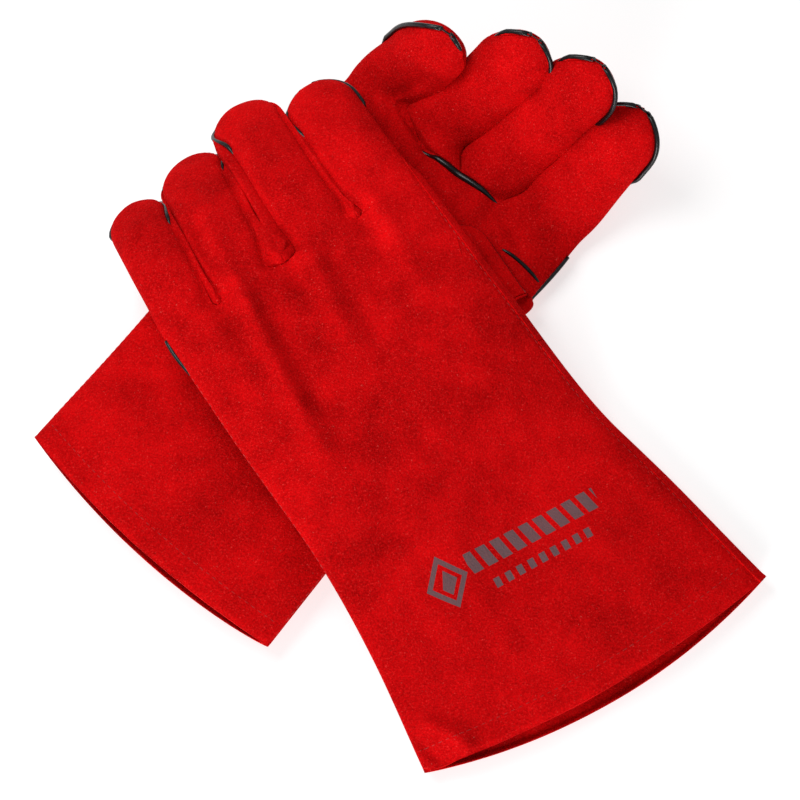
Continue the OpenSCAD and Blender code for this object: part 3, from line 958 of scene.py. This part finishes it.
        # welts along the panel edges, proud round the tips and sunk between
        long = fingerLong(g, f)
        tipRows = np.array([s for s in rows if s > long - 44][:-1] + [long - 0.2])
        there = np.concatenate([tipRows, tipRows[::-1]])
        u = np.concatenate([0 * tipRows + 0.004, 0 * tipRows + 0.996])
        far = np.where(u < 0.5, there - long, long - there) / 36
        first, last = welt["shows"][g][f]
        show = ramp((far - first) / 0.2 + 0.5) * ramp((last - far) / 0.2 + 0.5)
        place = fingerPanel(g, f, 1)
        path = surfaceRun(place, u, there, mix(1.1, welt["proud"][g], show), middle)
        runs = [(path, mix(0.6, welt["radius"][g], show))]
        low = np.array([s for s in rows if 2 < s < long - finger["tipSeam"] - 4])
        for end in (0, 1):
            if (f, end) not in ((0, 0), (3, 1)):
                edge = 0 * low + 0.996 * end + 0.002
                at = surfaceRun(fingerPanel(g, f, -1), edge, low, 0 * low + 0.1, middle)
                runs.append((at, 0 * low + 0.75))
        piece = tubes(g, f"{name}_welts_black", runs, "welt")
        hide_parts(f"{name}_welts")
        pieces.append(piece)
        for piece in pieces:
            blendFinger(g, f, piece)

        # the width of each cut, its share of the girth half way along the finger, worked out but not given to
        # the pieces
        half = np.array(long / 2)
        cuts = [cutWidth(g, f, edgeAngle(g, side, f, 1, half), np.pi - edgeAngle(g, side, f, 0, half))
                for side in (topSide(g, "back"), topSide(g, "front"))]
        cuts.append(cutWidth(g, f, 0, 2 * np.pi) - sum(cuts))
        cuts.append(cutWidth(g, f, 0, 2 * np.pi, deep + glove["fleece"] / 2))
        for piece, cut in zip(pieces, cuts):
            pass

    # the thumb, folded across the palm
    rows = [-20 + 2 * i for i in range(10)] + [glove["thumbLength"] * i / 30 for i in range(23)]
    start = glove["thumbLength"] - glove["thumbWidth"] / 2
    rows = [s for s in rows if s < start - 1]
    rows = rows + [mix(start, glove["thumbLength"], math.sin(math.pi / 2 * i / 10)) for i in range(11)]
    middle = thumbTube(g, (0, np.pi))(np.array(0.5), np.array(20.0))
    middle = middle * np.array([1, 1, 0]) + np.array([0, 0, thumbMiddle(g)])
    thumbPieces = []
    for part, angles in (("outer", (0.03, np.pi - 0.03)), ("inner", (np.pi + 0.03, 2 * np.pi - 0.03))):
        bm = newBmesh()
        addShell(bm, thumbTube(g, angles), evenly(24), rows, glove["leather"], middle, tip=True)
        piece = finishPiece(g, bm, f"{hand}_thumb_{part}_suede", "suede")
        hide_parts(f"{hand}_thumb_{part}")
        thumbPieces.append(piece)
    bm = newBmesh()

    def thumbInside(u, s):
        fold = math.radians(glove["thumbFold"])
        a = 2 * np.pi * u
        start = glove["thumbLength"] - glove["thumbWidth"] / 2
        q = np.clip((s - start) / (glove["thumbLength"] - start), 0, 1)
        tip = np.maximum(0, 1 - q ** 2.4) ** (1 / 2.4)
        across = (glove["thumbWidth"] / 2 - deep - 0.4) * tip * fullCos(a)
        up = (glove["thumbHeight"] / 2 - deep - 0.2) * tip * fullSin(a)
        x = thumbRoot(g) + s * math.cos(fold) - across * math.sin(fold)
        y = glove["thumbAlong"] + s * math.sin(fold) + across * math.cos(fold)
        return np.stack([x, y, thumbMiddle(g) + up], -1)

    inner = [s for s in rows if s >= 2]
    addShell(bm, thumbInside, evenly(24), inner, glove["fleece"], middle, tip=True)
    piece = finishPiece(g, bm, f"{hand}_thumb_lining_fleece", "fleece")
    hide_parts(f"{hand}_thumb_lining")
    thumbPieces.append(piece)
    along = np.array([s for s in rows if s > 3][:-1])
    runs = []
    for a in (0.0, np.pi):
        edge = thumbTube(g, (a - 0.01, a + 0.01))
        runs.append((surfaceRun(edge, np.full(len(along), 0.5), along, np.full(len(along), 0.5), middle),
                     np.full(len(along), 0.8)))
    thumbPieces.append(tubes(g, f"{hand}_thumb_welt_black", runs, "welt"))
    low = glove["handHeight"] / 2 + (rise if g == left else 0)
    root = np.array([thumbRoot(g), glove["thumbAlong"]])
    for piece in thumbPieces:
        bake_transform(piece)
    print(f"{hand} glove made")


# pale floor, soft light and camera
studio = {
    "lookAt": (0.0015, -0.0078, 0.020), "elevation": 72, "distance": 0.95, "viewWidth": 0.402,
    "world": 0.25, "key": 3.1, "front": 15.0, "fill": 1.2, "floorGlow": 0.62, "floorTone": 0.55,
}
bm = bmesh.new()
bmesh.ops.create_grid(bm, x_segments=2, y_segments=2, size=6)
bmesh.ops.translate(bm, verts=bm.verts[:], vec=(0, 0, -0.0005))
floorMesh = bpy.data.meshes.new("floor")
bm.to_mesh(floorMesh)
bm.free()
floor = bpy.data.objects.new("floor", floorMesh)
bpy.context.scene.collection.objects.link(floor)
material, start, shader, at = newMaterial("pale_floor", Specular_IOR_Level=0.1,
                                          Emission_Strength=studio["floorGlow"])
speck = start.noise(at, 300, 2.0, 0.5)
dull, clean = ((studio["floorTone"] + more,) * 3 + (1,) for more in (0, 0.02))
join(start, shader, Base_Color=speck.blend(dull, clean), Roughness=speck * 0.1 + 0.85)
shader.inputs["Emission Color"].default_value = (1, 1, 1, 1)
floorMesh.materials.append(material)

world = bpy.data.worlds.new("studio")
world.use_nodes = True
world.node_tree.nodes["Background"].inputs["Color"].default_value = (1, 1, 1, 1)
world.node_tree.nodes["Background"].inputs["Strength"].default_value = studio["world"]
bpy.context.scene.world = world


def areaLight(name, at, size, power):
    light = bpy.data.lights.new(name, "AREA")
    light.size, light.energy = size, power
    lamp = bpy.data.objects.new(name, light)
    lamp.location = at
    lamp.rotation_euler = (Vector(studio["lookAt"]) - Vector(at)).to_track_quat("-Z", "Y").to_euler()
    bpy.context.scene.collection.objects.link(lamp)


areaLight("keyLight", (-0.34, 0.26, 0.60), 0.45, studio["key"])
areaLight("frontLight", (-0.30, -1.3, 0.42), 0.6, studio["front"])
areaLight("fillLight", (0.9, -0.5, 1.0), 0.9, studio["fill"])

tilt = math.radians(studio["elevation"])
camera = bpy.data.objects.new("camera", bpy.data.cameras.new("camera"))
camera.data.lens = camera.data.sensor_width * studio["distance"] / studio["viewWidth"]
camera.location = Vector(studio["lookAt"]) + studio["distance"] * Vector((0, -math.cos(tilt), math.sin(tilt)))
camera.rotation_euler = (math.pi / 2 - tilt, 0, 0)
bpy.context.scene.collection.objects.link(camera)
bpy.context.scene.camera = camera
bpy.context.scene.view_settings.view_transform = "Standard"
print("studio set")
